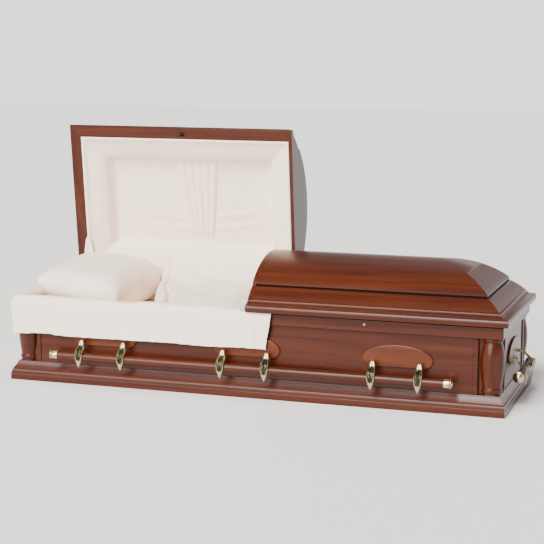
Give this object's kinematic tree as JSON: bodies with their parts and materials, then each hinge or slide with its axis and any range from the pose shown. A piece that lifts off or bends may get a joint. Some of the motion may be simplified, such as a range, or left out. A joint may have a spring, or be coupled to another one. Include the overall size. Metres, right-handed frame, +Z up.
{
  "type": "funeral casket",
  "caption": "Wooden half-couch casket with crowned hinged lids, turned corner posts, swinging bar handles and a fabric lining.",
  "frame": {"origin": "middle of the underside, on the floor", "axes": "+X to the foot end, -Y to the front, +Z up"},
  "size_m": [2.2176, 0.9156, 1.0615],
  "materials": {
    "cherry_lacquer": "satin lacquered red-brown hardwood",
    "antique_brass": "polished high spots over a dark antique ground",
    "ivory_crepe": "matte ivory crepe, softly padded"
  },
  "bodies": {
    "case": {"plinth": "cherry_lacquer", "bottom_board": "cherry_lacquer", "side_panel_front": "cherry_lacquer", "side_panel_back": "cherry_lacquer", "end_panel_head": "cherry_lacquer", "end_panel_foot": "cherry_lacquer", "corner_post_head_front": "cherry_lacquer", "corner_post_head_back": "cherry_lacquer", "corner_post_foot_front": "cherry_lacquer", "corner_post_foot_back": "cherry_lacquer", "rail_front": "cherry_lacquer", "rail_back": "cherry_lacquer", "rail_head": "cherry_lacquer", "rail_foot": "cherry_lacquer", "plaque_front_1": "cherry_lacquer", "plaque_front_2": "cherry_lacquer", "plaque_front_3": "cherry_lacquer", "plaque_back_1": "cherry_lacquer", "plaque_back_2": "cherry_lacquer", "plaque_back_3": "cherry_lacquer", "plaque_head": "cherry_lacquer", "plaque_foot": "cherry_lacquer", "bed": "ivory_crepe", "case_skirt": "ivory_crepe", "pillow": "ivory_crepe", "throw": "ivory_crepe", "apron": "ivory_crepe", "keyhole": "antique_brass", "hinge_leaf_case_head": "antique_brass", "hinge_leaf_case_foot": "antique_brass"},
    "head_lid": {"lid_shell_head": "cherry_lacquer", "header_head": "cherry_lacquer", "lid_lining_head": "ivory_crepe", "hinge_leaf_lid_head": "antique_brass", "latch_plate": "antique_brass"},
    "foot_lid": {"lid_shell_foot": "cherry_lacquer", "header_foot": "cherry_lacquer", "lid_lining_foot": "ivory_crepe", "hinge_leaf_lid_foot": "antique_brass"},
    "handle_front": {"bar_front": "cherry_lacquer", "arm_front_1_a": "antique_brass", "arm_front_1_b": "antique_brass", "arm_front_2_a": "antique_brass", "arm_front_2_b": "antique_brass", "arm_front_3_a": "antique_brass", "arm_front_3_b": "antique_brass"},
    "handle_back": {"bar_back": "cherry_lacquer", "arm_back_1_a": "antique_brass", "arm_back_1_b": "antique_brass", "arm_back_2_a": "antique_brass", "arm_back_2_b": "antique_brass", "arm_back_3_a": "antique_brass", "arm_back_3_b": "antique_brass"},
    "handle_head": {"bar_head": "cherry_lacquer", "arm_head_a": "antique_brass", "arm_head_b": "antique_brass"},
    "handle_foot": {"bar_foot": "cherry_lacquer", "arm_foot_a": "antique_brass", "arm_foot_b": "antique_brass"}
  },
  "joints": [
    {"name": "head_lid_hinge", "type": "hinge", "parent": "case", "child": "head_lid", "pos_m": [0, 0.351, 0.3536], "axis": [1, 0, 0], "range_deg": [0, 83]},
    {"name": "foot_lid_hinge", "type": "hinge", "parent": "case", "child": "foot_lid", "pos_m": [0, 0.351, 0.3536], "axis": [-1, 0, 0], "range_deg": [0, 83]},
    {"name": "handle_front_swing", "type": "hinge", "parent": "case", "child": "handle_front", "pos_m": [0, -0.3433, 0.185], "axis": [-1, 0, 0], "range_deg": [0, 70]},
    {"name": "handle_back_swing", "type": "hinge", "parent": "case", "child": "handle_back", "pos_m": [0, 0.3433, 0.185], "axis": [1, 0, 0], "range_deg": [0, 70]},
    {"name": "handle_head_swing", "type": "hinge", "parent": "case", "child": "handle_head", "pos_m": [-1.0583, 0, 0.185], "axis": [0, 1, 0], "range_deg": [0, 70]},
    {"name": "handle_foot_swing", "type": "hinge", "parent": "case", "child": "handle_foot", "pos_m": [1.0583, 0, 0.185], "axis": [0, -1, 0], "range_deg": [0, 70]}
  ]
}
